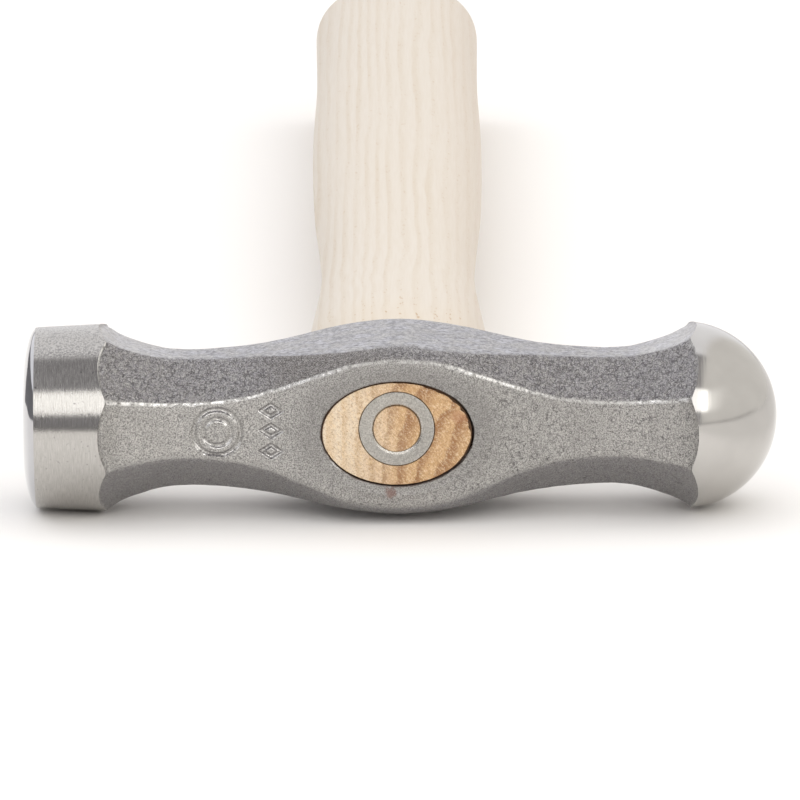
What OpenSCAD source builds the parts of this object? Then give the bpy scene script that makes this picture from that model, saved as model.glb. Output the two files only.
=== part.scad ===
// Embossing hammer: a forged steel head with one flat and one ball end, hung on an
// ash handle that is spread in the eye by a round steel wedge.
// X runs along the head, with the flat face at -X and the ball at +X. Y runs along the
// handle, from the head to the butt. The hammer lies on its cheek, with its underside at Z = 0.

/* [Head] */
// Length from the flat face to the tip of the ball
head_len = 116.6; // [108:0.2:124]
// Diameter of the ball, and of the thick end of the round barrel
end_d = 29; // [28.4:0.1:29.6]
// Length from the middle of the eye to the flat face
face_reach = 58; // [54:0.2:62]
// Diameter of the flat middle of the crowned face
face_flat_d = 14; // [8:0.5:16]
// Slope of the side of the barrel, in degrees
barrel_taper = 2.7; // [1:0.1:4]
// Depth of the head at the eye, along the handle
eye_depth = 24.4; // [23.4:0.1:25.4]
// Height of the head at the eye, from cheek to cheek
eye_height = 27; // [26:0.1:28]

/* [Eye] */
// Long axis of the oval mouth, along the head
eye_long = 23.3; // [21:0.1:24]
// Short axis of the oval mouth
eye_short = 16.5; // [14:0.1:17.5]
// Size of the eye's narrowest section, as a share of its mouth
eye_throat = 0.92; // [0.9:0.01:0.98]

/* [Ring wedge] */
// Outer diameter at the driven end
ring_od = 11.7; // [10:0.1:12.6]
// Inner diameter at the driven end
ring_id = 7.3; // [5:0.1:8]
// Length of the wedge
ring_len = 16; // [10:0.5:19]

/* [Handle] */
// Length of the hammer, from the top of the head's round ends to the butt
overall_len = 308; // [290:1:330]
// Width of the neck, along the head
neck_w = 25.1; // [23:0.1:27]
// Width of the grip, along the head
grip_w = 29.2; // [27:0.1:31]
// Thickness of the grip
grip_t = 22; // [20:0.1:25]
// Radius of the rounded edge of the butt
butt_round = 3.5; // [2:0.5:5]

/* [Hidden] */
$fn = 64;

end_r = end_d / 2;
ball_x = head_len - face_reach - end_r;
face_flat_r = face_flat_d / 2;
crown_r = 17;          // arc from the flat middle of the face outwards
crown_end = 18;        // angle at which the crown meets the rounded edge
edge_r = 4.8;          // arc of the rounded edge
edge_end = 42;         // angle at which the edge meets the barrel
arc_step = 4;          // from one point of these arcs to the next, in degrees
barrel_x = -46;        // where the barrel reaches end_r
clear_x = 43;          // the turned ends start outside this
clear_r = 22;          // stays clear of the whole forged middle
clear_end = 65;        // past both ends of the head
overlap = 2;           // how far the barrel's shape runs on into the forged middle

eye_x = -0.3;          // the eye sits a little towards the flat face
recess = 0.3;          // end grain below the front of the head
past = 1;              // how far the eye's cutting shape runs on past each mouth
shoulder = 0.4;        // from the back of the head to where the handle swells
butt_step = 22.5;      // from one ring of the butt's rounded edge to the next, in degrees

ring_z = 0.8;          // the wedge sits a little towards one cheek
ring_edge = 0.3;       // wall left at the wedge's inner edge
ring_lean = 0.65;      // how far the outside leans inwards over the wedge's length

throat_y = 2;          // the eye's narrowest section, from the head's axis
back_mouth = 0.985;    // size of the mouth on the handle's side, as a share of the other one
tenon_y = eye_depth / 2 - recess;
tenon_share = 1 - recess * (1 - eye_throat) / (eye_depth / 2 + throat_y);
butt_y = overall_len - end_r;

// Forged middle, from the eye outwards: distance from the eye, half depth, half height,
// half width of the flats at the front and back, half width of the flats on the cheeks.
half_d = eye_depth / 2;
half_h = eye_height / 2;
BODY = [
    [-7, half_d, half_h - 0.8, 11.2, 10.1],
    [0, half_d, half_h, 12.1, 9.5],
    [7, half_d, half_h - 0.8, 11.2, 10.1],
    [11, 11.8, 12.1, 9.7, 9.2],
    [15, 10.9, 11.5, 8.1, 7.5],
    [20, 9.9, 10.9, 6.3, 5.3],
    [25, 9.6, 10.4, 5.0, 4.3],
    [31, 9.5, 10.1, 4.4, 3.8],
    [36, 9.9, 10.3, 4.4, 3.9],
    [40, 11.0, 11.2, 4.8, 4.6],
    [43.5, 12.4, 12.5, 5.2, 5.1],
    [46.3, end_r, end_r, 6.0, 6.0],
    [48, end_r + 1.5, end_r + 1.5, 6.6, 6.6],
    [70, end_r + 1.5, end_r + 1.5, 6.6, 6.6],
];

// Handle behind the head: distance from the eye's middle, half width, half thickness,
// and how square the section is (2 is an ellipse).
NECK = neck_w / 2;
GRIP = grip_w / 2;
THICK = grip_t / 2;
SHAFT = [
    [half_d + shoulder, 11.6, 8.3, 2],
    [20, 13.3, 9.5, 2.1],
    [32, 14.3, 10.3, 2.2],
    [45, 14.2, 10.3, 2.3],
    [60, 13.6, 10.0, 2.3],
    [80, NECK + 0.2, 9.4, 2.3],
    [97, NECK, 9.1, 2.3],
    [118, NECK + 0.55, 9.4, 2.3],
    [145, GRIP - 0.55, 10.2, 2.3],
    [175, GRIP - 0.1, 10.8, 2.3],
    [205, GRIP, THICK, 2.3],
    [245, GRIP - 0.3, THICK - 0.1, 2.3],
    [butt_y, GRIP + 0.1, THICK + 0.3, 2.3],
];
SHAFT_SIDES = 32;

// Smooth curve through column c of table t at distance x.
function row(t, x, i = 0) = i < len(t) - 2 && x > t[i + 1][0] ? row(t, x, i + 1) : i;
function slope(t, i, c) =
    let (a = max(i - 1, 0), b = min(i + 1, len(t) - 1))
    (t[b][c] - t[a][c]) / (t[b][0] - t[a][0]);
function through(t, x, c) =
    let (i = row(t, x), h = t[i + 1][0] - t[i][0], u = (x - t[i][0]) / h)
    (2 * u ^ 3 - 3 * u ^ 2 + 1) * t[i][c] + (u ^ 3 - 2 * u ^ 2 + u) * h * slope(t, i, c)
    + (3 * u ^ 2 - 2 * u ^ 3) * t[i + 1][c] + (u ^ 3 - u ^ 2) * h * slope(t, i + 1, c);

// Closed solid through rings of points, each with the same number of points.
module loft(rings) {
    n = len(rings[0]);
    last = len(rings) - 1;
    polyhedron(
        points = [for (ring = rings) each ring],
        faces = [
            [for (k = [0:n - 1]) k],
            for (j = [0:last - 1], k = [0:n - 1])
                [j * n + k, (j + 1) * n + k, (j + 1) * n + (k + 1) % n, j * n + (k + 1) % n],
            [for (k = [n - 1:-1:0]) last * n + k],
        ]
    );
}

// The forging's eight-sided section at x.
function forged_ring(x) =
    let (
        d = through(BODY, abs(x), 1),
        h = through(BODY, abs(x), 2),
        front = through(BODY, abs(x), 3),
        cheek = through(BODY, abs(x), 4)
    )
    [
        [x, -cheek, h], [x, cheek, h], [x, d, front], [x, d, -front],
        [x, cheek, -h], [x, -cheek, -h], [x, -d, -front], [x, -d, front],
    ];

module forged_middle() {
    step = 1.75;
    steps = 27;
    inner = [for (j = [-steps:steps]) forged_ring(j * step)];
    loft(concat([forged_ring(-clear_end)], inner, [forged_ring(clear_end)]));
}

// Points of an arc in the face's profile, as radius and depth below the face.
function arc(centre_r, centre_depth, r, from, to) =
    [for (a = [from:arc_step:to]) [centre_r + r * sin(a), centre_depth - r * cos(a)]];

// Crowned face and slightly conical barrel, as one turned shape.
module barrel() {
    edge_c = [
        face_flat_r + (crown_r - edge_r) * sin(crown_end),
        crown_r - (crown_r - edge_r) * cos(crown_end),
    ];
    edge = arc(edge_c[0], edge_c[1], edge_r, crown_end, edge_end);
    rim = edge[len(edge) - 1];
    wide = face_reach + barrel_x;
    rim_r = end_r - (wide - rim[1]) * tan(barrel_taper);
    translate([-face_reach, 0, 0]) rotate([0, 90, 0]) rotate_extrude()
        polygon(concat(
            [[0, 0]],
            arc(face_flat_r, crown_r, crown_r, 0, crown_end - arc_step / 2),
            edge,
            [[rim_r, rim[1]], [end_r, wide], [end_r, face_reach - clear_x + overlap],
             [0, face_reach - clear_x + overlap]]
        ));
}

// Everything that the turning and grinding leave: barrel, ball and an untouched middle.
module turned_space() {
    barrel();
    translate([ball_x, 0, 0]) rotate([0, 90, 0]) sphere(end_r);
    translate([-clear_x, 0, 0]) rotate([0, 90, 0]) cylinder(h = 2 * clear_x, r = clear_r);
}

// Half of the oval eye: a cone from the throat to a mouth, and on at the same slope past it.
module eye_half(length, mouth_share) {
    throat_r = eye_throat * eye_long / 2;
    widening = (mouth_share - eye_throat) * eye_long / 2 / length;
    cylinder(h = length + past, r1 = throat_r, r2 = throat_r + widening * (length + past));
}

module eye_space() {
    scale([1, 1, eye_short / eye_long]) translate([eye_x, throat_y, 0]) {
        rotate([90, 0, 0]) eye_half(half_d + throat_y, 1);
        rotate([-90, 0, 0]) eye_half(half_d - throat_y, back_mouth);
    }
}

// The wedge's own ring, sharp at its inner end.
module ring_solid() {
    out_r = ring_od / 2;
    in_r = ring_id / 2;
    translate([eye_x, -tenon_y, ring_z]) rotate([-90, 0, 0]) rotate_extrude()
        polygon([
            [in_r, 0], [out_r, 0],
            [out_r - ring_lean, ring_len], [out_r - ring_lean - ring_edge, ring_len],
        ]);
}

// Outline of the handle at y, about a middle at x.
function oval(x, y, w, t, square) =
    [for (k = [0:SHAFT_SIDES - 1])
        let (a = 360 * k / SHAFT_SIDES, c = cos(a), s = sin(a))
        [x + w * sign(c) * abs(c) ^ (2 / square), y, t * sign(s) * abs(s) ^ (2 / square)]];
function tenon_at(y, share) = oval(eye_x, y, share * eye_long / 2, share * eye_short / 2, 2);
function shaft_at(y, cut = 0) =
    oval(0, y, through(SHAFT, y, 1) - cut, through(SHAFT, y, 2) - cut, through(SHAFT, y, 3));

// Tenon that fills the eye, then the neck, the grip and the rounded butt.
module whole_handle() {
    steps = 34;
    first_y = SHAFT[0][0];
    end_y = butt_y - butt_round;
    loft(concat(
        [tenon_at(-tenon_y, tenon_share), tenon_at(throat_y, eye_throat), tenon_at(half_d, back_mouth)],
        [for (j = [0:steps]) shaft_at(first_y + (end_y - first_y) * j / steps)],
        [for (a = [butt_step:butt_step:90])
            shaft_at(end_y + butt_round * sin(a), butt_round * (1 - cos(a)))]
    ));
}

// Moves a shape from the middle of the eye to the hammer's own frame.
module in_place() {
    translate([face_reach - head_len / 2, end_r - overall_len / 2, end_r]) children();
}

module head() {
    color("lightslategray") in_place() difference() {
        intersection() {
            forged_middle();
            turned_space();
        }
        eye_space();
    }
}

module handle() {
    color("wheat") in_place() difference() {
        whole_handle();
        ring_solid();
    }
}

module ring_wedge() {
    color("silver") in_place() ring_solid();
}

head();
handle();
ring_wedge();
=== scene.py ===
"""Looks of the embossing hammer: forged, turned and polished steel head, ash handle, ring wedge."""

import math

import bpy
import numpy as np
from mathutils import Matrix, Vector


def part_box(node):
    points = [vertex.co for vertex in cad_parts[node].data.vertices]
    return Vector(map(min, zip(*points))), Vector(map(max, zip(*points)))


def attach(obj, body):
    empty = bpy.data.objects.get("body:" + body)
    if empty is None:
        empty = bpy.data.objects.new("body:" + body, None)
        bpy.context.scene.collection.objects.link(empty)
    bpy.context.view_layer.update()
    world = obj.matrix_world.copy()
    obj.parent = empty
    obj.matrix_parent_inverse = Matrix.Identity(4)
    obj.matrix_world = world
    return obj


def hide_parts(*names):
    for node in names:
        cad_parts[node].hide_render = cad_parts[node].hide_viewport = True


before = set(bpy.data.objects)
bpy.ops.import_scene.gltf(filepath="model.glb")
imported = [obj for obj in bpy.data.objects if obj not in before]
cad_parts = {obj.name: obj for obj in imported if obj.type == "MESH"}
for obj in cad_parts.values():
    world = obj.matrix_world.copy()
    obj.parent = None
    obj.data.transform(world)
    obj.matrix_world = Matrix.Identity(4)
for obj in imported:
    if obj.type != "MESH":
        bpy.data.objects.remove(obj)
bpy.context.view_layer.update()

# ---------------------------------------------------------------- sizes, in millimetres

MM = 0.001
HEAD_LOW, HEAD_HIGH = (np.array(corner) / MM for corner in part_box("head"))
FACE_REACH = 58.0                      # from the flat face to the middle of the eye
END_R = 14.5                           # ball, and the thick end of the barrel
HALF_DEPTH, HALF_HEIGHT = 12.2, 13.5   # the forging at the eye
EYE = np.array([
    HEAD_LOW[0] + FACE_REACH,
    (HEAD_LOW[1] + HEAD_HIGH[1]) / 2,
    (HEAD_LOW[2] + HEAD_HIGH[2]) / 2,
])                                     # middle of the eye, on the head's axis
BALL_X = HEAD_HIGH[0] - EYE[0] - END_R
BUTT_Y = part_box("handle")[1][1] / MM - EYE[1]

# Forged middle: distance from the eye, half depth, half height, half width of the front and
# back flats, half width of the cheek flats.
BODY = np.array([
    [-7, HALF_DEPTH, HALF_HEIGHT - 0.8, 11.2, 10.1],
    [0, HALF_DEPTH, HALF_HEIGHT, 12.1, 9.5],
    [7, HALF_DEPTH, HALF_HEIGHT - 0.8, 11.2, 10.1],
    [11, 11.8, 12.1, 9.7, 9.2],
    [15, 10.9, 11.5, 8.1, 7.5],
    [20, 9.9, 10.9, 6.3, 5.3],
    [25, 9.6, 10.4, 5.0, 4.3],
    [31, 9.5, 10.1, 4.4, 3.8],
    [36, 9.9, 10.3, 4.4, 3.9],
    [40, 11.0, 11.2, 4.8, 4.6],
    [43.5, 12.4, 12.5, 5.2, 5.1],
    [46.3, END_R, END_R, 6.0, 6.0],
    [48, END_R + 1.5, END_R + 1.5, 6.6, 6.6],
    [70, END_R + 1.5, END_R + 1.5, 6.6, 6.6],
])

# Handle behind the head: distance from the eye, half width, half thickness, squareness.
NECK, GRIP, THICK = 12.55, 14.6, 11.0
SHAFT = np.array([
    [HALF_DEPTH + 0.4, 11.6, 8.3, 2],
    [20, 13.3, 9.5, 2.1],
    [32, 14.3, 10.3, 2.2],
    [45, 14.2, 10.3, 2.3],
    [60, 13.6, 10.0, 2.3],
    [80, NECK + 0.2, 9.4, 2.3],
    [97, NECK, 9.1, 2.3],
    [118, NECK + 0.55, 9.4, 2.3],
    [145, GRIP - 0.55, 10.2, 2.3],
    [175, GRIP - 0.1, 10.8, 2.3],
    [205, GRIP, THICK, 2.3],
    [245, GRIP - 0.3, THICK - 0.1, 2.3],
    [BUTT_Y, GRIP + 0.1, THICK + 0.3, 2.3],
])
BUTT_ROUND = 3.5

EYE_LONG, EYE_SHORT = 11.65, 8.25      # half axes of the eye's mouth at the front
THROAT, THROAT_Y = 0.92, 2.0           # the narrowest section as a share of it, and its place
BACK_MOUTH = 0.985                     # the mouth on the handle's side, as a share of it too
EYE_X = -0.3                           # the eye sits a little towards the face
WOOD_TOP = 0.3 - HALF_DEPTH            # where the tenon's end and the ring wedge lie
RING_OUT, RING_IN, RING_LEN, RING_Z = 5.85, 3.65, 16.0, 0.8


def through(table, x, column):
    """Smooth curve through a column of a table, at x."""
    t, v = table[:, 0], table[:, column]
    i = np.clip(np.searchsorted(t, x, side="left") - 1, 0, len(t) - 2)
    a, b = np.maximum(np.arange(len(t)) - 1, 0), np.minimum(np.arange(len(t)) + 1, len(t) - 1)
    slope = (v[b] - v[a]) / (t[b] - t[a])
    h = t[i + 1] - t[i]
    u = (x - t[i]) / h
    return (
        (2 * u**3 - 3 * u**2 + 1) * v[i] + (u**3 - 2 * u**2 + u) * h * slope[i]
        + (3 * u**2 - 2 * u**3) * v[i + 1] + (u**3 - u**2) * h * slope[i + 1]
    )


def step(edge0, edge1, x):
    """0 below edge0, 1 above edge1, smooth between."""
    u = np.clip((x - edge0) / (edge1 - edge0), 0, 1)
    return u * u * (3 - 2 * u)


class Noise:
    """Smooth 3-D noise from -1 to 1 on an array of points, the same for the same seed."""

    def __init__(self, seed):
        rng = np.random.default_rng(seed)
        self.order = rng.permutation(256)
        self.values = rng.uniform(-1, 1, 256)

    def at(self, p, size):
        q = np.asarray(p, float) / size
        cell = np.floor(q).astype(int)
        f = q - cell
        f = f * f * (3 - 2 * f)
        total = 0
        for corner in np.ndindex(2, 2, 2):
            c = (cell + corner) & 255
            h = self.order[(self.order[(self.order[c[..., 0]] + c[..., 1]) & 255] + c[..., 2]) & 255]
            w = np.prod(np.where(corner, f, 1 - f), axis=-1)
            total = total + w * self.values[h]
        return total


# ---------------------------------------------------------------- meshes

def circle(count):
    """Angles, and the points of a circle of radius 1 around the Y axis."""
    turns = np.linspace(0, 2 * math.pi, count + 1)[:-1]
    return turns, np.stack([np.cos(turns), np.zeros(count), np.sin(turns)], axis=-1)


def add_mesh(name, points_mm, faces, materials, slots=None, sharp_deg=30):
    """A piece from points given from the middle of the eye, in millimetres."""
    mesh = bpy.data.meshes.new(name)
    points = (np.asarray(points_mm) + EYE) * MM
    mesh.from_pydata(points.tolist(), [], faces)
    for material in materials:
        mesh.materials.append(material)
    if slots is not None:
        mesh.polygons.foreach_set("material_index", slots)
    mesh.shade_smooth()
    mesh.set_sharp_from_angle(angle=math.radians(sharp_deg))
    mesh.validate()
    piece = bpy.data.objects.new(name, mesh)
    bpy.context.scene.collection.objects.link(piece)
    return piece


def tube(rows, columns, first_pole, last_pole):
    """Faces of a tube of rows by columns points, closed by a single point where there is a
    pole, and the number of the row that each face runs up to from the one before."""
    faces, row_of = [], []
    start = 1 if first_pole else 0
    if first_pole:
        faces += [(0, start + k, start + (k + 1) % columns) for k in range(columns)]
        row_of += [0] * columns
    for j in range(rows - 1):
        a, b = start + j * columns, start + (j + 1) * columns
        for k in range(columns):
            m = (k + 1) % columns
            faces.append((a + k, b + k, b + m, a + m))
            row_of.append(j + 1)
    if last_pole:
        a = start + (rows - 1) * columns
        faces += [(a + columns, a + (k + 1) % columns, a + k) for k in range(columns)]
        row_of += [rows] * columns
    return faces, np.array(row_of)


def apply_modifiers(piece):
    bpy.context.view_layer.update()
    graph = bpy.context.evaluated_depsgraph_get()
    mesh = bpy.data.meshes.new_from_object(piece.evaluated_get(graph), depsgraph=graph)
    old = piece.data
    piece.modifiers.clear()
    piece.data = mesh
    bpy.data.meshes.remove(old)


# ---------------------------------------------------------------- the head: forging

FORGED, TURNED, MIRROR, BALL = range(4)          # material slots of the head
FLAT_STEPS = (80, 24, 18, 18, 24, 18, 18, 24)   # front flat first, then round by the cheek
ARRIS_STEPS = 6
ARRIS_R = 0.8
SKIN_WAVES = ((0.05, 5.5, 0), (0.035, 1.3, 50))  # height, length and shift of the skin's unevenness
forge_noise = Noise(7)


def octagon(x):
    """The forging's eight-sided section at x, an array of rows by columns, with rounded arrises.
    Gives an array of points (depth, height) for each column, and the flat that it belongs to."""
    reach = np.abs(x)
    d, h, front, cheek = (through(BODY, reach, c) for c in (1, 2, 3, 4))
    corners = [(-d, front), (-cheek, h), (cheek, h), (d, front),
               (d, -front), (cheek, -h), (-cheek, -h), (-d, -front)]
    soft = 1 + 1.2 * (1 - step(3, 14, reach))      # the arrises fade out beside the eye
    most = 0.45                        # share of a side that an arris takes at most
    outline = []
    for k in range(8):
        before, here, after = (np.stack(corners[(k + i) % 8], -1) for i in (-1, 0, 1))
        to_before, to_after = before - here, after - here
        len_before = np.linalg.norm(to_before, axis=-1, keepdims=True)
        len_after = np.linalg.norm(to_after, axis=-1, keepdims=True)
        cut = np.minimum(np.minimum(len_before, len_after) * most, ARRIS_R * soft[..., None])
        outline.append((here + to_before / len_before * cut, here, here + to_after / len_after * cut))
    columns, flat_of = [], []
    for k, steps in enumerate(FLAT_STEPS):
        begin = outline[k - 1][2]
        end, corner, leave = outline[k]
        columns += [begin + (end - begin) * j / steps for j in range(steps)]
        for u in np.arange(ARRIS_STEPS) / ARRIS_STEPS:
            columns.append((1 - u) ** 2 * end + 2 * u * (1 - u) * corner + u * u * leave)
        flat_of += [k] * (steps + ARRIS_STEPS)
    return columns, np.array(flat_of)


FLAT_OF = octagon(np.zeros((1, 1)))[1]
COLUMNS = len(FLAT_OF)


def section(x):
    """The forging's uneven skin at x, an array of rows by columns, as points."""
    columns, _ = octagon(x)
    yz = np.stack([columns[k][:, k] for k in range(COLUMNS)], axis=1)
    p = np.concatenate([x[..., None], yz], axis=-1)
    uneven = sum(height * forge_noise.at(p + shift, length) for height, length, shift in SKIN_WAVES)
    uneven = uneven * (1 - 0.75 * step(42, 46, np.abs(x)))       # calmer at both ends
    below = 0.04                       # keeps the skin inside the solid part
    r = np.linalg.norm(yz, axis=-1, keepdims=True)
    p[..., 1:] *= 1 + (uneven[..., None] - below) / r
    return p


def forged_places(left, right):
    """Where the forging's rows lie: close together where the marks are stamped, and bent at
    both ends to the lines where the barrel and the ball begin."""
    first, last, bend = -46.4, 46.1, 40.0
    base = np.concatenate([
        [first, -46.25], np.arange(-46.0, -32.2, 0.5), np.arange(-32.0, -17.0, 0.13),
        np.arange(-16.8, 46.0, 0.5), [last],
    ])[:, None]
    x = np.where(base < -bend, -bend + (base + bend) * (left + bend) / (first + bend), base)
    return np.where(base > bend, bend + (base - bend) * (right - bend) / (last - bend), x)


# Plain marks in the front flat: rings around one point, and lozenges in a column beside them.
RING_MARK_X, RING_MARK_Z = -28.0, -0.2
RING_MARKS = ((3.6, 0.3), (2.1, 0.24))           # radius, depth
LOZENGE_X, LOZENGE_ZS = -19.7, (3.3, 0.1, -3.1)
LOZENGE_WIDE, LOZENGE_HIGH, LOZENGE_DEEP = 2.3, 1.5, 0.32


def stamp_depth(x, z):
    """Depth of the plain stamped marks at places of the front flat."""
    depth = np.zeros_like(x)
    r = np.hypot(x - RING_MARK_X, z - RING_MARK_Z)
    for radius, deep in RING_MARKS:
        depth = np.maximum(depth, deep * (1 - step(0.06, 0.56, np.abs(r - radius))))
    outline = 0.62                     # share of the lozenge's size where its groove runs
    for at in LOZENGE_ZS:
        away = np.abs(x - LOZENGE_X) / LOZENGE_WIDE + np.abs(z - at) / LOZENGE_HIGH
        depth = np.maximum(depth, LOZENGE_DEEP * (1 - step(0.04, 0.36, np.abs(away - outline))))
    return depth


def eye_ridge(points):
    """Height of the slight ridge that the forging has around the eye's mouth."""
    x, z = points[..., 0], points[..., 2]
    out = np.hypot((x - EYE_X) / EYE_LONG, z / EYE_SHORT)
    rim_gap = (out - 1) * (EYE_LONG + EYE_SHORT) / 2
    high, at, width = 0.1, 1.7, 0.45
    return high * np.exp(-(((rim_gap - at) / width) ** 2)) * (1 + forge_noise.at(points + 90, 4.0))


def forged_rows(left, right):
    forged = section(forged_places(left, right))
    on_front = FLAT_OF == 0
    front = forged[:, on_front]
    forged[:, on_front, 1] += stamp_depth(front[..., 0], front[..., 2]) - eye_ridge(front)
    groove = 0.14                      # the forged skin starts just below the turned surfaces
    for near_end in (1, 2, -2, -3):
        forged[near_end, :, 1:] *= 1 - groove / END_R
    return forged


# ---------------------------------------------------------------- the head: turned ends and eye

# Crown of the face, its rounded edge, and the slightly conical side of the barrel.
BARREL_X, TAPER = -46.0, math.tan(math.radians(2.7))
CROWN_R, CROWN_END, EDGE_R, EDGE_END, FACE_FLAT_R = 17.0, 18, 4.8, 42, 7.0
BARREL_ROWS, BALL_ROWS = 11, 36


def barrel_r(x):
    return END_R - np.maximum(BARREL_X - x, 0) * TAPER


def ball_r(x):
    return np.sqrt(np.maximum(END_R**2 - np.maximum(x - BALL_X, 0) ** 2, 0))


def face_profile():
    """Radius and x of the face's profile, from the middle of its flat to the barrel's edge."""
    edge_r = FACE_FLAT_R + (CROWN_R - EDGE_R) * math.sin(math.radians(CROWN_END))
    edge_d = CROWN_R - (CROWN_R - EDGE_R) * math.cos(math.radians(CROWN_END))
    points = [(r, 0.0) for r in (1.5, 3.5, 5.5)]
    for a in np.radians(range(0, CROWN_END, 2)):
        points.append((FACE_FLAT_R + CROWN_R * math.sin(a), CROWN_R * (1 - math.cos(a))))
    for a in np.radians(range(CROWN_END, EDGE_END + 1, 3)):
        points.append((edge_r + EDGE_R * math.sin(a), edge_d - EDGE_R * math.cos(a)))
    return [(r, depth - FACE_REACH) for r, depth in points]


def meeting(low, high, envelope):
    """Where each column of the forging comes out to the turned surface."""
    low, high = np.full((1, COLUMNS), float(low)), np.full((1, COLUMNS), float(high))
    halvings = 22
    for _ in range(halvings):
        mid = (low + high) / 2
        inside = np.linalg.norm(section(mid)[..., 1:], axis=-1) < envelope(mid)
        low, high = np.where(inside, mid, low), np.where(inside, high, mid)
    return low[0]


def outwards(row):
    """Directions of a row's points from the head's axis."""
    return row[:, 1:] / np.linalg.norm(row[:, 1:], axis=-1, keepdims=True)


def turned_row(x, r, directions):
    """A row of points at x, r from the head's axis. Both may be one number or one per column."""
    x, r = (np.broadcast_to(value, COLUMNS)[:, None] for value in (x, r))
    return np.concatenate([x, directions * r], axis=-1)


def build_head(materials):
    left = meeting(-44.0, -48.5, barrel_r)
    right = meeting(44.0, 48.5, ball_r)
    forged = forged_rows(left, right)

    # Outwards from the pole in the flat face, in the directions of the forging's first row.
    directions = outwards(forged[0])
    face = [turned_row(x, r, directions) for r, x in face_profile()]
    crease_x = face[-1][0, 0]
    barrel = []
    for u in np.linspace(0, 1, BARREL_ROWS + 2)[1:-1]:
        x = crease_x + (left - crease_x) * u
        barrel.append(turned_row(x, barrel_r(x), directions))

    # From the forging's last row to the ball's tip.
    directions = outwards(forged[-1])
    start = np.arccos(np.clip((right - BALL_X) / END_R, -1, 1))
    ball = []
    for u in np.linspace(1, 0, BALL_ROWS + 2)[1:-1]:
        a = start * u
        ball.append(turned_row(BALL_X + END_R * np.cos(a), END_R * np.sin(a), directions))

    rows = np.concatenate([np.stack(face + barrel), forged, np.stack(ball)])
    points = np.concatenate([
        [[-FACE_REACH, 0, 0]], rows.reshape(-1, 3), [[BALL_X + END_R, 0, 0]],
    ])
    faces, row_of = tube(len(rows), COLUMNS, True, True)
    first_forged = len(face) + len(barrel)
    last_forged = first_forged + len(forged) - 1
    slots = np.full(len(faces), FORGED)
    slots[row_of <= first_forged] = TURNED
    slots[row_of < len(face)] = MIRROR
    slots[row_of > last_forged] = BALL
    head = add_mesh("head_forging", points, faces, materials, slots)
    cut_eye(head, materials)
    return head


def cut_eye(head, materials):
    """Cuts the oval, waisted eye, with a chamfer that follows the curved flats."""
    count = 120
    turns, round_eye = circle(count)
    past = 1.5                         # how far the cutter runs on past each mouth
    rings = []

    def ring(y, share, grow=0.0):
        p = round_eye * (np.array([EYE_LONG * share, 0, EYE_SHORT * share]) + grow)
        p[:, 0] += EYE_X
        p[:, 1] = y
        rings.append(p)

    def facing(degrees, narrow):
        """1 where the mouth faces this way, down to 0 on its other side."""
        return (0.5 + 0.5 * np.cos(turns - math.radians(degrees))) ** narrow

    # The mouth's edge is worn flat at the lower left, and rolls inwards on the right.
    surface = through(BODY, np.abs(EYE_X + EYE_LONG * np.cos(turns)), 1)
    worn, rolled = facing(228, 3), facing(12, 4)
    ragged = 0.5 + 0.5 * forge_noise.at(round_eye * [EYE_LONG, 0, EYE_SHORT], 1.1)
    width = (0.1 + 0.34 * worn + 0.45 * rolled) * (0.6 + 0.7 * ragged)
    depth = 0.15 + 0.4 * rolled
    slope = (width / depth)[:, None]
    ring(-surface - past, 1, slope * past)
    ring(-surface + depth, 1)
    ring(THROAT_Y, THROAT)
    ring(surface - depth, BACK_MOUTH)
    ring(surface + past, BACK_MOUTH, slope * past)
    points = np.concatenate(rings)
    faces, _ = tube(len(rings), count, False, False)
    faces = [f[::-1] for f in faces]
    faces += [tuple(range(count)), tuple(range(len(points) - 1, len(points) - count - 1, -1))]
    cutter = add_mesh("eye_cutter", points, faces, materials)
    cut = head.modifiers.new("eye", "BOOLEAN")
    cut.operation, cut.solver, cut.object = "DIFFERENCE", "EXACT", cutter
    apply_modifiers(head)
    bpy.data.objects.remove(cutter)
    head.data.set_sharp_from_angle(angle=math.radians(30))


# ---------------------------------------------------------------- the handle

WOOD_SIDES = 192
SIDE_GRAIN, END_GRAIN, SEAM = range(3)           # material slots of the handle
RING_GAP, RING_GROOVE = 0.07, 2.5                # play beside the ring wedge, depth of its groove
wood_noise = Noise(21)


def oval(y, width, thick, square):
    turns, _ = circle(WOOD_SIDES)
    c, s = np.cos(turns), np.sin(turns)
    return np.stack([
        width * np.sign(c) * np.abs(c) ** (2 / square),
        np.full(WOOD_SIDES, float(y)),
        thick * np.sign(s) * np.abs(s) ** (2 / square),
    ], axis=-1)


def tenon_ring(y, loose):
    """The tenon's outline, smaller than the eye by loose."""
    mouth, away = (1, THROAT_Y + HALF_DEPTH) if y < THROAT_Y else (BACK_MOUTH, HALF_DEPTH - THROAT_Y)
    share = THROAT + (mouth - THROAT) * abs(y - THROAT_Y) / away
    return oval(y, EYE_LONG * share - loose, EYE_SHORT * share - loose, 2) + [EYE_X, 0, 0]


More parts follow.
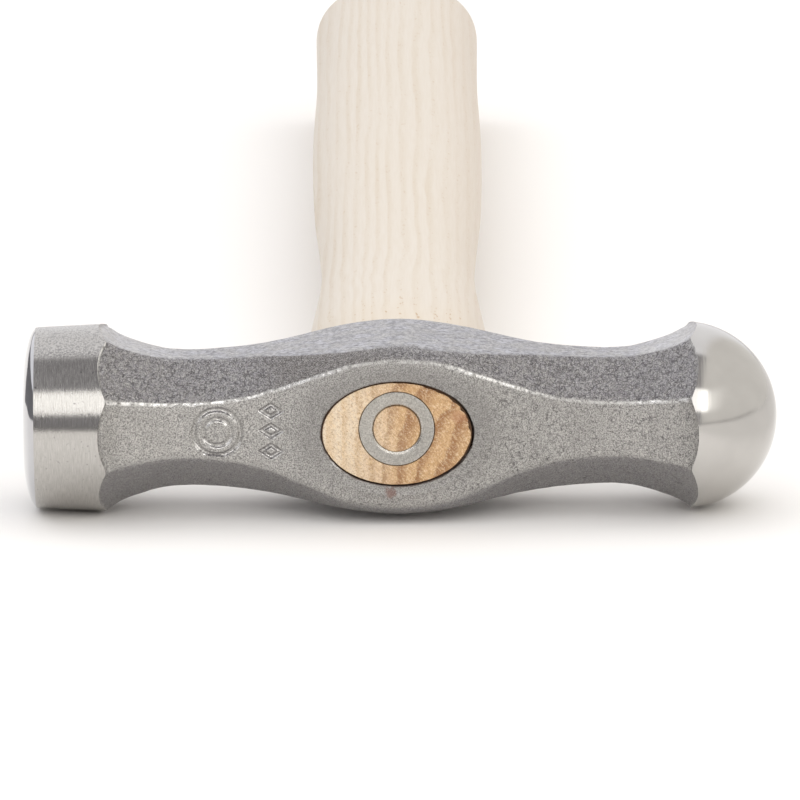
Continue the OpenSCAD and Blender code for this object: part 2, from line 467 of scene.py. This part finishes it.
def end_grain_rows():
    """The end grain inside the ring, the ring's groove, the end grain around it, and its edge."""
    turns, unit = circle(WOOD_SIDES)
    centre = np.array([EYE_X, 0, RING_Z])

    def round_row(r, y):
        return centre + unit * r + [0, y, 0]

    inner, outer = RING_IN - RING_GAP, RING_OUT + RING_GAP
    rows = [round_row(r, WOOD_TOP) for r in (0.8, 1.6, 2.4, 3.0, 3.4, inner)]
    rows += [round_row(r, WOOD_TOP + RING_GROOVE) for r in (inner, outer)]
    rim = tenon_ring(WOOD_TOP, 0.15)
    ragged = wood_noise.at(rim, 0.9) + 0.7 * wood_noise.at(rim + 9, 0.4)
    torn = np.clip(np.cos(turns - math.radians(28)), 0, 1) ** 2       # most at the upper right
    rim[:, [0, 2]] *= 1 - ((0.004 + 0.016 * torn) * (1 + ragged))[:, None]
    collar = round_row(outer, WOOD_TOP)
    rows += [collar + (rim - collar) * u for u in (0, 0.04, 0.2, 0.4, 0.6, 0.8, 0.93, 0.985)]
    rows.append(rim + [0, 0.1, 0])
    rough = 0.05
    for row in rows:
        row[:, 1] += rough * wood_noise.at(row * [1, 0, 1] + 30, 0.8)
    return rows, rim


def grip_rows():
    """Neck, grip and rounded butt."""
    round_y = BUTT_Y - BUTT_ROUND
    rows = []
    for y in np.concatenate([[12.6, 13.2, 14, 15], np.arange(16, round_y, 1.25), [round_y]]):
        width, thick, square = (through(SHAFT, np.array(y), c) for c in (1, 2, 3))
        rows.append(oval(y, width, thick, square))
    for a in np.radians(np.arange(11.25, 90.1, 11.25)):
        cut = BUTT_ROUND * (1 - math.cos(a))
        rows.append(oval(round_y + BUTT_ROUND * math.sin(a), width - cut, thick - cut, square))
    return rows


def build_handle(materials):
    end_rows, rim = end_grain_rows()
    tenon = [rim + [0, 0.3, 0]]
    tenon += [tenon_ring(y, loose) for y, loose in (
        (WOOD_TOP + 0.32, 0.02), (-10.5, 0.08), (-8, 0.1), (-4, 0.1), (0, 0.1), (2, 0.1),
        (6, 0.1), (10, 0.1), (12.1, 0.12),
    )]
    grip = grip_rows()
    butt = [grip[-1] * [u, 1, u] for u in (0.97, 0.8, 0.6, 0.4, 0.2)]
    grid = np.stack(end_rows + tenon + grip + butt)
    grip_from = len(end_rows) + len(tenon)
    grip_to = grip_from + len(grip)
    side = grid[grip_from:grip_to]
    wave = 0.035 * wood_noise.at(side * [1, 0.12, 1], 6.0)
    side[..., [0, 2]] *= 1 + (wave[..., None] - 0.04) / 12
    points = np.concatenate([
        [[EYE_X, WOOD_TOP, RING_Z]], grid.reshape(-1, 3), [[0, BUTT_Y, 0]],
    ])
    faces, row_of = tube(len(grid), WOOD_SIDES, True, True)
    faces = [f[::-1] for f in faces]
    butt_edge = 4                      # rows of the butt's rounded edge that show end grain
    slots = np.full(len(faces), SIDE_GRAIN)
    slots[(row_of < len(end_rows)) | (row_of >= grip_to - butt_edge)] = END_GRAIN
    slots[(row_of >= len(end_rows)) & (row_of < grip_from)] = SEAM
    return add_mesh("ash_handle", points, faces, materials, slots, sharp_deg=40)


# ---------------------------------------------------------------- the ring wedge

def build_ring(materials):
    sides = 128
    _, unit = circle(sides)
    lean, edge, bevel, break_edge = 0.65, 0.3, 0.45, 0.1
    profile = [
        (RING_OUT - lean - edge, RING_LEN), (RING_IN, 0.8), (RING_IN, 0.22),
        (RING_IN + bevel * 0.85, 0.03), (RING_IN + bevel, 0),
        (RING_OUT - break_edge, 0), (RING_OUT, break_edge), (RING_OUT - lean, RING_LEN),
    ]
    points = np.concatenate([unit * r + [EYE_X, WOOD_TOP + depth, RING_Z] for r, depth in profile])
    faces = []
    for j in range(len(profile)):
        here, there = j * sides, (j + 1) % len(profile) * sides
        for k in range(sides):
            m = (k + 1) % sides
            faces.append((here + m, there + m, there + k, here + k))
    return add_mesh("ring_wedge_steel", points, faces, materials, sharp_deg=25)


# ---------------------------------------------------------------- node helpers

class Nodes:
    """Short calls for building a node tree. A value may be a number, a colour or an output."""

    def __init__(self, tree):
        self.tree = tree

    def add(self, kind, **settings):
        node = self.tree.nodes.new(kind)
        for key, value in settings.items():
            setattr(node, key, value)
        return node

    def link(self, out, socket):
        self.tree.links.new(out, socket)

    def put(self, value, socket):
        if hasattr(value, "is_linked"):
            self.link(value, socket)
        else:
            socket.default_value = value

    def vector(self, operation, a, b=(0.0, 0.0, 0.0)):
        node = self.add("ShaderNodeVectorMath", operation=operation)
        self.put(a, node.inputs[0])
        self.put(b, node.inputs[1])
        return node.outputs

    def scaled(self, vector, by):
        return self.vector("MULTIPLY", vector, by)[0]

    def moved(self, vector, by):
        return self.vector("ADD", vector, by)[0]

    def length(self, vector):
        return self.vector("LENGTH", vector)["Value"]

    def distance(self, a, b):
        return self.vector("DISTANCE", a, b)["Value"]

    def split(self, vector):
        node = self.add("ShaderNodeSeparateXYZ")
        self.link(vector, node.inputs[0])
        return node.outputs[:3]

    def math(self, operation, a, b=0.0, c=0.0):
        node = self.add("ShaderNodeMath", operation=operation)
        for value, socket in zip((a, b, c), node.inputs):
            self.put(value, socket)
        return node.outputs[0]

    def times(self, first, *others):
        for other in others:
            first = self.math("MULTIPLY", first, other)
        return first

    def times_plus(self, value, by, plus):
        return self.math("MULTIPLY_ADD", value, by, plus)

    def noise(self, vector, size, detail=2.0, rough=0.5, distortion=0.0, output="Fac"):
        """Noise from 0 to 1 whose features are about size millimetres."""
        node = self.add("ShaderNodeTexNoise")
        self.link(vector, node.inputs["Vector"])
        node.inputs["Scale"].default_value = 1 / size
        node.inputs["Detail"].default_value = detail
        node.inputs["Roughness"].default_value = rough
        node.inputs["Distortion"].default_value = distortion
        return node.outputs[output]

    def cells(self, vector, size, feature="F1"):
        """Distance to the middle, or to the edge, of cells of about size millimetres."""
        node = self.add("ShaderNodeTexVoronoi", feature=feature)
        self.link(vector, node.inputs["Vector"])
        node.inputs["Scale"].default_value = 1 / size
        return node.outputs["Distance"]

    def range(self, value, low, high, to_low=0.0, to_high=1.0, smooth=False):
        node = self.add("ShaderNodeMapRange", interpolation_type="SMOOTHSTEP" if smooth else "LINEAR")
        for v, socket in zip((value, low, high, to_low, to_high), node.inputs):
            self.put(v, socket)
        return node.outputs[0]

    def band(self, value, rise, full, fall, end, top=1.0, smooth=True):
        """0 below rise, top from full to fall, 0 again above end."""
        up = self.range(value, rise, full, smooth=smooth)
        return self.times(up, self.range(value, fall, end, top, 0.0, smooth=smooth))

    def mix(self, factor, a, b):
        node = self.add("ShaderNodeMix", data_type="RGBA")
        self.put(factor, node.inputs[0])
        for value, socket in ((a, node.inputs[6]), (b, node.inputs[7])):
            self.put((*value, 1.0) if isinstance(value, tuple) else value, socket)
        return node.outputs[2]


class Surface(Nodes):
    """A material's nodes. mm is the place from the middle of the eye, in millimetres."""

    def __init__(self, name):
        self.material = bpy.data.materials.new(name)
        self.material.use_nodes = True
        super().__init__(self.material.node_tree)
        self.shader = self.tree.nodes["Principled BSDF"]
        place = self.add("ShaderNodeTexCoord").outputs["Object"]
        from_eye = self.vector("SUBTRACT", place, (EYE * MM).tolist())[0]
        self.mm = self.scaled(from_eye, (1 / MM,) * 3)

    def normal(self):
        return self.split(self.add("ShaderNodeNewGeometry").outputs["Normal"])

    def bump(self, height_mm):
        node = self.add("ShaderNodeBump")
        node.inputs["Distance"].default_value = MM
        self.link(height_mm, node.inputs["Height"])
        return node.outputs[0]

    def finish(self, **inputs):
        """Sets the shader's inputs. Underscores in their names stand for spaces."""
        for name, value in inputs.items():
            socket = self.shader.inputs[name.replace("_", " ")]
            self.put((*value, 1.0) if isinstance(value, tuple) and len(value) == 3 else value, socket)
        return self.material


# ---------------------------------------------------------------- steel

class ForgedZones:
    """Zones of the forging, told by the slope of its skin and by place: 1 inside, 0 outside."""

    def __init__(self, n):
        self.x, _, self.z = n.split(n.mm)
        _, ny, self.nz = n.normal()
        self.reach = n.math("ABSOLUTE", self.x)
        self.up = n.math("ABSOLUTE", self.nz)
        chamfer = n.range(self.up, 0.35, 0.6, smooth=True)
        tilt = n.math("DIVIDE", n.math("ABSOLUTE", ny), n.math("MAXIMUM", self.up, 0.05))
        level = n.range(tilt, 0.16, 0.36, 1.0, 0.0, smooth=True)
        arris = n.band(self.up, 0.14, 0.26, 0.38, 0.5)
        self.sloped = chamfer
        self.cheek = n.times(level, n.range(self.up, 0.5, 0.7))
        self.coarse = n.times(chamfer, n.range(self.nz, -0.2, 0.2, 0.25, 1.0))
        self.arris = n.times(arris, n.range(self.reach, 5.0, 13.0, 0.34, 1.0, smooth=True))


def forged_cracks(n, zone, bent):
    """Thin winding cracks in the scale, closest on the chamfers."""
    close = n.range(n.cells(bent, 0.75, "DISTANCE_TO_EDGE"), 0.0, 0.13, 1.0, 0.0)
    wide = n.range(n.cells(bent, 1.4, "DISTANCE_TO_EDGE"), 0.0, 0.065, 1.0, 0.0)
    broken = n.noise(n.mm, 0.9, 3.0, 0.6)
    close = n.times(close, n.range(broken, 0.36, 0.6, 0.25, 1.0, smooth=True), zone.coarse)
    ball_side = n.range(zone.x, -14.0, 18.0, 0.25, 0.85, smooth=True)
    wide = n.times(wide, n.range(broken, 0.42, 0.6, smooth=True), ball_side)
    return n.times(n.math("MAXIMUM", close, wide), n.range(zone.cheek, 0, 1, 1.0, 0.6))


def forged_height(n, zone, bent, grain, crack):
    """Height of the skin: lumps, domes between the cracks, fine grain."""
    lumps = n.noise(n.mm, 0.62, 2.5, 0.55, 0.3)
    height = n.times(lumps, n.range(zone.coarse, 0, 1, 0.08, 0.17))
    height = n.times_plus(n.cells(bent, 0.75), n.range(zone.coarse, 0, 1, -0.03, -0.16), height)
    height = n.times_plus(grain, n.range(zone.cheek, 0, 1, 0.11, 0.06), height)
    return n.times_plus(crack, -0.05, height)


def cheek_tones(n, zone, base):
    """Paler, mottled cheeks with dark strokes and flecks, palest where they flare at the ends."""
    patchy = n.noise(n.moved(n.mm, (3.0, 1.0, 6.0)), 2.6, 3.0)
    base = n.mix(n.times(zone.cheek, n.range(patchy, 0.42, 0.6, 0.0, 0.6)), base, (0.60, 0.60, 0.655))
    strokes = n.noise(n.scaled(n.mm, (0.45, 1.3, 1.0)), 0.6, 4.0, 0.7, 0.4)
    streak = n.times(n.range(strokes, 0.48, 0.6), zone.cheek, n.range(patchy, 0.4, 0.6, 0.5, 1.0))
    base = n.mix(streak, base, (0.24, 0.235, 0.245))
    flecks = n.noise(n.scaled(n.moved(n.mm, (2.0, 7.0, 4.0)), (0.6, 0.45, 1.0)), 0.4, 2.0)
    base = n.mix(n.times(n.range(flecks, 0.53, 0.61, 0.0, 0.6), zone.cheek), base, (0.27, 0.262, 0.275))
    flare = n.times(zone.cheek, n.range(zone.reach, 30.0, 44.0, 0.0, 0.32, smooth=True))
    return n.mix(flare, base, (0.86, 0.85, 0.84))


def forged_tones(n, zone, grain, crack):
    """Grey scale with its tint, cracks, pits and stains, and painted shade on the faces that look down.
    """
    speck = n.range(grain, 0.385, 0.615)
    hue = n.noise(n.moved(n.mm, (4.0, 8.0, 2.0)), 0.8, 2.0)
    tinted = n.mix(speck, (0.215, 0.206, 0.22), (0.575, 0.56, 0.57))
    base = n.mix(speck, (0.245, 0.237, 0.228), (0.65, 0.635, 0.605))
    base = n.mix(n.times(n.range(hue, 0.3, 0.7, 0.3, 1.0), zone.sloped), base, tinted)
    base = n.mix(n.times(zone.cheek, 0.55), base, (0.725, 0.712, 0.70))
    base = n.mix(n.times(crack, 0.82), base, (0.085, 0.078, 0.082))
    base = cheek_tones(n, zone, base)
    # Painted shade: the faces that look downwards are darkened.
    painted_underside_shade = n.range(zone.nz, -0.05, -0.5, 0.0, 0.4)
    base = n.mix(painted_underside_shade, base, (0.30, 0.29, 0.285))
    # Browner scale on the upper chamfer, between the stamps and the eye.
    brown = n.times(n.band(zone.x, -24.0, -16.0, -8.0, 4.0, 0.55), zone.coarse)
    brown = n.times(brown, n.range(zone.cheek, 0, 1, 1.0, 0.0))
    base = n.mix(brown, base, n.mix(speck, (0.09, 0.08, 0.072), (0.42, 0.395, 0.365)))
    pits = n.range(n.noise(n.moved(n.mm, (9.0, 3.0, 5.0)), 0.42, 1.0), 0.68, 0.74, 0.0, 0.6)
    base = n.mix(pits, base, (0.12, 0.11, 0.11))
    stain = n.range(n.noise(n.mm, 5.0, 2.0), 0.5, 0.8, 0.0, 0.22)
    return n.mix(stain, base, (0.36, 0.34, 0.33))


def worn_arris_and_highlight(n, zone):
    """Bright worn spots along the arrises, partly a painted highlight: kept mostly to the upper
    arrises, which face the lights, and fainter over a stretch towards the ball.
    """
    spots = n.range(n.noise(n.mm, 0.7, 3.0), 0.38, 0.54)
    faint = n.band(zone.x, 18.0, 24.0, 34.0, 38.0)
    # Painted highlight: the brightening is kept mostly to the upper arrises, which face the lights.
    highlight_above = n.range(zone.nz, -0.1, 0.1, 0.15, 1.0)
    return n.times(zone.arris, spots, n.times_plus(faint, -0.6, 1.0), highlight_above)


def tones_near_eye(n, zone, base):
    """Painted shade beside the eye and around its mouth, dirt with painted shade in the gap along the
    mouth, and a touch of rust below it.
    """
    # Painted shade on the flat to the right of the eye.
    shade = n.times(n.band(zone.x, 5.0, 12.0, 28.0, 36.0, 0.14), n.range(zone.up, 0.2, 0.4, 1.0, 0.0))
    base = n.mix(shade, base, (0.16, 0.153, 0.145))
    out = n.length(n.scaled(n.moved(n.mm, (-EYE_X, 0, 0)), (1 / EYE_LONG, 0, 1 / EYE_SHORT)))
    # Painted shade around the eye's mouth, deeper above it.
    painted_shade_around_eye = n.times(n.range(out, 1.1, 1.6, 1.0, 0.0, smooth=True), n.range(zone.z, -9.0, 9.0, 0.26, 0.5))
    base = n.mix(painted_shade_around_eye, base, (0.22, 0.21, 0.20))
    # A dark brown line at the mouth: dirt, with the shade of the gap painted in.
    dirt_and_gap_shade = n.times_plus(n.noise(n.mm, 1.6, 3.0), -0.05, out)
    base = n.mix(n.range(dirt_and_gap_shade, 0.965, 1.012, 0.9, 0.0, smooth=True), base, (0.07, 0.042, 0.03))
    away = n.distance(n.mm, (-1.4, -HALF_DEPTH, -9.3))
    rust = n.times_plus(n.noise(n.mm, 0.7, 3.0), 2.6, away)
    return n.mix(n.range(rust, 1.5, 2.6, 0.6, 0.0, smooth=True), base, (0.22, 0.10, 0.075))


def forged_steel():
    n = Surface("forged steel")
    zone = ForgedZones(n)
    bent = n.moved(n.mm, n.noise(n.mm, 1 / 1.6, output="Color"))
    grain = n.noise(n.mm, 0.19, 2.5, 0.65)
    crack = forged_cracks(n, zone, bent)
    worn = worn_arris_and_highlight(n, zone)
    base = forged_tones(n, zone, grain, crack)
    # Worn arrises: real wear, brightened further as a painted highlight.
    base = n.mix(n.times(worn, 0.85), base, (0.90, 0.89, 0.87))
    base = tones_near_eye(n, zone, base)
    height = forged_height(n, zone, bent, grain, crack)
    height = n.times(height, n.times_plus(worn, -0.6, 1.0))
    rough = n.range(n.noise(n.mm, 0.5, 2.0), 0.3, 0.7, 0.36, 0.48)
    rough = n.times_plus(worn, -0.2, rough)
    return n.finish(Base_Color=base, Metallic=1.0, Roughness=rough, Normal=n.bump(height))


def around(n, per_mm, per_radian):
    """Noise stretched round the head's axis, like the marks of turning."""
    x, y, z = n.split(n.mm)
    both = n.add("ShaderNodeCombineXYZ")
    n.put(n.times(x, per_mm), both.inputs[0])
    n.put(n.times(n.math("ARCTAN2", z, y), per_radian), both.inputs[1])
    return n.noise(both.outputs[0], 1.0, 3.0, 0.7)


def turned_steel():
    n = Surface("turned steel")
    lines = around(n, 7.0, 7.0)
    long_lines = around(n, 3.0, 1.6)
    height = n.times_plus(lines, 0.035, n.times(long_lines, 0.02))
    base = n.mix(n.range(lines, 0.3, 0.7), (0.43, 0.415, 0.39), (0.585, 0.57, 0.545))
    # The top of the barrel is grainy.
    _, _, nz = n.normal()
    grainy = n.range(nz, 0.79, 0.84, smooth=True)
    fine = n.noise(n.mm, 0.3, 2.0)
    height = n.times_plus(n.times(fine, 0.05), grainy, height)
    base = n.mix(n.times(grainy, n.range(fine, 0.46, 0.6, 0.0, 0.55)), base, (0.24, 0.235, 0.235))
    pits = n.times(n.range(n.noise(n.mm, 0.5, 1.0), 0.70, 0.75), 0.5)
    base = n.mix(pits, base, (0.2, 0.19, 0.19))
    tangent = n.add("ShaderNodeTangent", direction_type="RADIAL", axis="X")
    return n.finish(
        Base_Color=base, Metallic=1.0, Roughness=n.range(lines, 0.3, 0.7, 0.15, 0.22),
        Anisotropic=0.7, Anisotropic_Rotation=0.25, Tangent=tangent.outputs[0],
        Normal=n.bump(height),
    )


def mirror_steel():
    n = Surface("mirror steel")
    haze = n.noise(n.mm, 3.0, 3.0)
    base = n.mix(haze, (0.50, 0.50, 0.515), (0.57, 0.57, 0.585))
    return n.finish(
        Base_Color=base, Metallic=1.0, Roughness=n.range(haze, 0.3, 0.7, 0.06, 0.1),
        Normal=n.bump(n.times(n.noise(n.mm, 1.5, 2.0), 0.004)),
    )


def ball_steel():
    n = Surface("ball steel")
    lines = around(n, 3.0, 2.5)
    haze = n.noise(n.mm, 4.0, 2.0)
    base = n.mix(haze, (0.515, 0.50, 0.478), (0.60, 0.585, 0.56))
    return n.finish(
        Base_Color=base, Metallic=1.0, Roughness=n.range(haze, 0.3, 0.7, 0.11, 0.15),
        Normal=n.bump(n.times(lines, 0.01)),
    )


def wedge_steel():
    n = Surface("wedge steel")
    sanded = n.noise(n.scaled(n.mm, (6.0, 1.0, 1.4)), 1.0, 3.0, 0.7)
    fine = n.noise(n.mm, 0.2, 3.0, 0.6)
    base = n.mix(n.range(fine, 0.3, 0.7), (0.32, 0.302, 0.275), (0.62, 0.60, 0.555))
    height = n.times_plus(fine, 0.04, n.times(sanded, 0.02))
    # The bevel is smoother than the end.
    _, ny, _ = n.normal()
    bevel = n.range(ny, -0.985, -0.93)
    rough = n.times_plus(bevel, -0.24, n.range(sanded, 0.3, 0.7, 0.38, 0.5))
    return n.finish(Base_Color=base, Metallic=1.0, Roughness=rough, Normal=n.bump(height))


# ---------------------------------------------------------------- ash

END_GAP, SIDE_GAP = 2.3, 1.7           # from one growth ring of the ash to the next


def growth_rings(n, gap):
    """Growth rings of the ash: 0 in the pale late wood, up to 1 in the porous early wood.
    They stand upright on the left of the eye and lean over on the right."""
    x, y, z = n.split(n.mm)
    lean = n.range(x, -4.0, 7.0, 0.02, 0.62, smooth=True)
    lean = n.times(lean, n.range(y, 0.0, 14.0, 1.0, 0.3))
    wobble = n.noise(n.scaled(n.mm, (1, 0.06, 1)), 6.0, 2.0, 0.5)
    wiggle = n.noise(n.scaled(n.mm, (0.5, 0.25, 0.5)), 3.6, 1.0, 0.5)
    wavy = n.times(n.range(y, 14.0, 30.0, 0.3, 1.5), n.range(y, 55.0, 90.0, 1.0, 0.35))
    across = n.math("SUBTRACT", x, n.times(lean, z))
    wide = n.math("MAXIMUM", across, 0.0)
    across = n.times_plus(wide, n.range(y, 0.0, 14.0, -0.48, -0.2), across)
    across = n.times_plus(wobble, 2.6, across)
    across = n.times_plus(wiggle, wavy, across)
    saw = n.math("FRACT", n.times_plus(across, 1 / gap, 0.35))
    return n.band(saw, 0.0, 0.15, 0.22, 0.7)


def ash_side():
    n = Surface("ash side")
    x, y, _ = n.split(n.mm)
    rings = growth_rings(n, SIDE_GAP)
    broad = n.range(n.noise(n.scaled(n.mm, (1, 0.05, 1)), 5.0, 1.0), 0.35, 0.65, 0.18, 0.65)
    base = n.mix(n.times(rings, broad), (0.68, 0.62, 0.54), (0.615, 0.53, 0.42))
    pink = n.range(x, 4.0, 13.0, 0.0, 0.45, smooth=True)
    base = n.mix(pink, base, (0.655, 0.575, 0.50))
    # Yellower close to the head.
    drift = n.noise(n.scaled(n.mm, (1, 0.2, 1)), 6.0, 2.0)
    warm = n.range(n.times_plus(drift, 40.0, y), 28, 62, 0.45, 0.0)
    base = n.mix(warm, base, (0.70, 0.595, 0.45))
    fibre = n.noise(n.scaled(n.mm, (1, 0.035, 1)), 0.35, 3.0, 0.6)
    base = n.mix(n.range(fibre, 0.4, 0.75, 0.0, 0.2), base, (0.62, 0.53, 0.42))
    pores = n.noise(n.scaled(n.mm, (1, 0.3, 1)), 0.42, 1.0)
    pores = n.times(n.range(pores, 0.64, 0.72), n.range(rings, 0.3, 0.8))
    base = n.mix(n.times(pores, n.range(y, 30.0, 45.0, 0.75, 0.3)), base, (0.50, 0.33, 0.18))
    height = n.times_plus(fibre, 0.02, n.times(pores, -0.03))
    return n.finish(
        Base_Color=base, Roughness=n.range(fibre, 0.3, 0.7, 0.5, 0.62), Normal=n.bump(height),
        Specular_IOR_Level=0.35,
    )


def ash_end():
    n = Surface("ash end grain")
    x, y, _ = n.split(n.mm)
    rings = growth_rings(n, END_GAP)
    side = n.times_plus(n.noise(n.mm, 5.0, 2.0), 6.0, x)
    brown = n.times(n.range(side, -6.0, 5.5, smooth=True), n.range(y, 0.0, 60.0, 1.0, 0.12))
    pale = n.mix(n.times(rings, 0.7), (0.80, 0.67, 0.51), (0.69, 0.51, 0.32))
    dark = n.mix(rings, (0.62, 0.39, 0.20), (0.36, 0.185, 0.085))
    base = n.mix(brown, pale, dark)
    # Light flecks along the rays, short dark vessels, and the fuzz that the saw leaves.
    slant = n.add("ShaderNodeVectorRotate", rotation_type="Y_AXIS")
    n.link(n.mm, slant.inputs["Vector"])
    slant.inputs["Angle"].default_value = math.radians(40)
    along_rays = slant.outputs[0]
    flecks = n.noise(n.scaled(along_rays, (2.6, 1.0, 0.7)), 0.8, 3.0, 0.65)
    base = n.mix(n.range(flecks, 0.5, 0.64, 0.0, 0.5), base, (0.86, 0.65, 0.39))
    vessels = n.noise(n.scaled(along_rays, (2.2, 1.0, 1.0)), 0.5, 1.0)
    base = n.mix(n.range(vessels, 0.58, 0.7, 0.0, 0.42), base, (0.33, 0.165, 0.07))
    fuzz = n.noise(n.mm, 0.2, 2.0, 0.7)
    base = n.mix(n.range(fuzz, 0.3, 0.5, 0.5, 0.0), base, (0.34, 0.19, 0.09))
    base = n.mix(n.range(fuzz, 0.52, 0.7, 0.0, 0.45), base, (0.94, 0.82, 0.64))
    # A red-brown spot near the upper right of the mouth.
    away = n.distance(n.mm, (9.4, WOOD_TOP, 2.6))
    spot = n.times_plus(n.noise(n.mm, 1.4, 2.0), 2.0, away)
    base = n.mix(n.range(spot, 1.4, 2.8, 0.5, 0.0, smooth=True), base, (0.36, 0.15, 0.085))
    height = n.times(fuzz, 0.09)
    return n.finish(Base_Color=base, Roughness=0.75, Normal=n.bump(height), Specular_IOR_Level=0.25)


def ash_seam():
    n = Surface("ash seam")
    stain = n.noise(n.mm, 0.5, 2.0)
    base = n.mix(stain, (0.06, 0.034, 0.02), (0.15, 0.085, 0.05))
    height = n.times(stain, 0.05)
    return n.finish(Base_Color=base, Roughness=0.9, Specular_IOR_Level=0.1, Normal=n.bump(height))


# ---------------------------------------------------------------- stage, light and camera

FLOOR_TONE = (0.91, 0.894, 0.872)      # the floor's mean colour
FLOOR_REACH = 6.0                      # metres
SCENE_EYE = Vector((EYE * MM).tolist())


def floor_paint():
    n = Surface("pale floor")
    tone = n.noise(n.mm, 260.0, 2.0)
    base = n.mix(tone, (0.90, 0.883, 0.86), (0.92, 0.905, 0.885))
    return n.finish(Base_Color=base, Roughness=0.9, Specular_IOR_Level=0.1)


def add_sheet(name, corners, material):
    """A four-cornered sheet of the stage, in metres."""
    mesh = bpy.data.meshes.new(name)
    mesh.from_pydata(corners, [], [(0, 1, 2, 3)])
    mesh.materials.append(material)
    piece = bpy.data.objects.new(name, mesh)
    bpy.context.scene.collection.objects.link(piece)
    return piece


def build_stage():
    r = FLOOR_REACH
    add_sheet("floor", [(-r, -r, 0), (r, -r, 0), (r, r, 0), (-r, r, 0)], floor_paint())


def card(name, corners_mm, tone, fade=None):
    """A flat card that only shows as a reflection in the polished steel. With a fade, its tone
    starts as the floor's and changes between these two places along the head."""
    n = Surface(name)
    if fade:
        x, _, _ = n.split(n.mm)
        tone = n.mix(n.range(x, *fade, smooth=True), FLOOR_TONE, tone)
    material = n.finish(Base_Color=tone, Roughness=0.9, Specular_IOR_Level=0.0)
    piece = add_sheet(name, ((np.array(corners_mm) + EYE) * MM).tolist(), material)
    piece.visible_camera = piece.visible_diffuse = piece.visible_shadow = False


def panel(name, elevation, distance, width, height, radiance, tint=(1, 1, 1)):
    """A soft rectangular light on the camera's side that faces the head."""
    e = math.radians(elevation)
    toward = Vector((0, -math.cos(e), math.sin(e)))
    light = bpy.data.lights.new(name, "AREA")
    light.shape, light.size, light.size_y = "RECTANGLE", width, height
    light.energy = radiance * math.pi * width * height
    light.color = tint
    piece = bpy.data.objects.new(name, light)
    piece.location = SCENE_EYE + toward * distance
    piece.rotation_euler = toward.to_track_quat("Z", "Y").to_euler()
    piece.visible_camera = False
    bpy.context.scene.collection.objects.link(piece)
    return piece


def build_lights():
    panel("front strip", 31.5, 1.1, 1.3, 0.57, 1.5, (1.0, 0.99, 0.965))
    fill = panel("overhead fill", 88, 1.6, 3.0, 3.0, 0.68)
    fill.visible_glossy = False
    # Cards that show only in the steel's reflections, as painted shade there: a dark one beside the
    # flat face, one on the floor beyond the ball that makes the reflected floor darker, and a low one
    # in front.
    low = -EYE[2]
    card("dark card", [(-86, 53, low + 6), (-400, -15, low), (-400, -15, 60), (-86, 53, 14)],
         (0.2, 0.2, 0.21))
    start, back, far, over = 58, 600, 3000, low + 0.05
    card("floor shade card", [(start, back, over), (start, -far, over), (far, -far, over), (far, back, over)],
         (0.75, 0.735, 0.715), (58.0, 105.0))
    card("front card", [(-300, -250, low), (-300, -250, 4), (110, -250, 4), (110, -250, low)],
         (0.2, 0.2, 0.2))


def build_world():
    """A dim studio with pale walls on the right and behind, and a pale left wall higher up.
    x, y and z are the direction looked in. The camera itself sees white."""
    world = bpy.data.worlds.new("studio")
    world.use_nodes = True
    n = Nodes(world.node_tree)
    x, y, z = n.split(n.add("ShaderNodeTexCoord").outputs["Generated"])
    right = n.range(x, 0.27, 0.42, smooth=True)
    behind = n.times(n.range(y, 0.04, 0.16, smooth=True), n.range(z, 0.0, 0.06, smooth=True))
    left = n.times(n.range(x, -0.27, -0.42, smooth=True), n.range(z, 0.3, 0.42, smooth=True))
    tone = n.mix(left, (0.285, 0.276, 0.29), (0.86, 0.86, 0.88))
    tone = n.mix(behind, tone, (1.10, 1.095, 1.12))
    tone = n.mix(right, tone, (0.91, 0.885, 0.85))
    # A glow at the right end of the front strip.
    glow = n.times(n.band(z, 0.2, 0.36, 0.52, 0.68), n.range(y, -0.1, -0.4, smooth=True))
    glow = n.times(glow, n.band(x, 0.3, 0.4, 0.45, 0.85))
    tone = n.mix(glow, tone, (1.40, 1.37, 1.33))
    # A dark line where the table ends, which the ball shows on the right.
    edge = n.band(z, 0.0, 0.01, 0.035, 0.05, 0.5, smooth=False)
    edge = n.times(edge, n.range(x, 0.2, 0.35), n.range(y, 0.0, 0.3, 1.0, 0.0))
    tone = n.mix(edge, tone, (0.2, 0.19, 0.19))
    seen = n.mix(n.add("ShaderNodeLightPath").outputs["Is Camera Ray"], tone, (1.0, 1.0, 1.0))
    n.link(seen, n.tree.nodes["Background"].inputs[0])
    bpy.context.scene.world = world


ELEVATION, DISTANCE, ROLL = 13.5, 1.6, -0.28
FOCAL_SHARE = 12.9                     # focal length as a share of the sensor's width
AIM_DOWN, AIM_RIGHT = -0.088, 0.008    # degrees; the head lies a little below the middle


def build_camera():
    data = bpy.data.cameras.new("camera")
    data.sensor_width = 36.0
    data.lens = data.sensor_width * FOCAL_SHARE
    data.clip_end = 50
    camera = bpy.data.objects.new("camera", data)
    e = math.radians(ELEVATION)
    camera.location = SCENE_EYE + DISTANCE * Vector((0, -math.cos(e), math.sin(e)))
    down = math.radians(ELEVATION + AIM_DOWN)
    forward = Vector((math.sin(math.radians(AIM_RIGHT)), math.cos(down), -math.sin(down)))
    turn = forward.to_track_quat("-Z", "Y").to_matrix().to_4x4()
    camera.rotation_euler = (turn @ Matrix.Rotation(math.radians(ROLL), 4, "Z")).to_euler()
    bpy.context.scene.collection.objects.link(camera)
    bpy.context.scene.camera = camera


build_camera()
build_stage()
build_lights()
build_world()
bpy.context.scene.view_settings.view_transform = "Standard"

head = build_head([forged_steel(), turned_steel(), mirror_steel(), ball_steel()])
handle = build_handle([ash_side(), ash_end(), ash_seam()])
ring = build_ring([wedge_steel()])
for piece, node, slot in (
    (head, "head", "forged_steel"), (handle, "handle", "ash"), (ring, "ring_wedge", "wedge_steel"),
):
    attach(piece, "root")
    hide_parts(node)
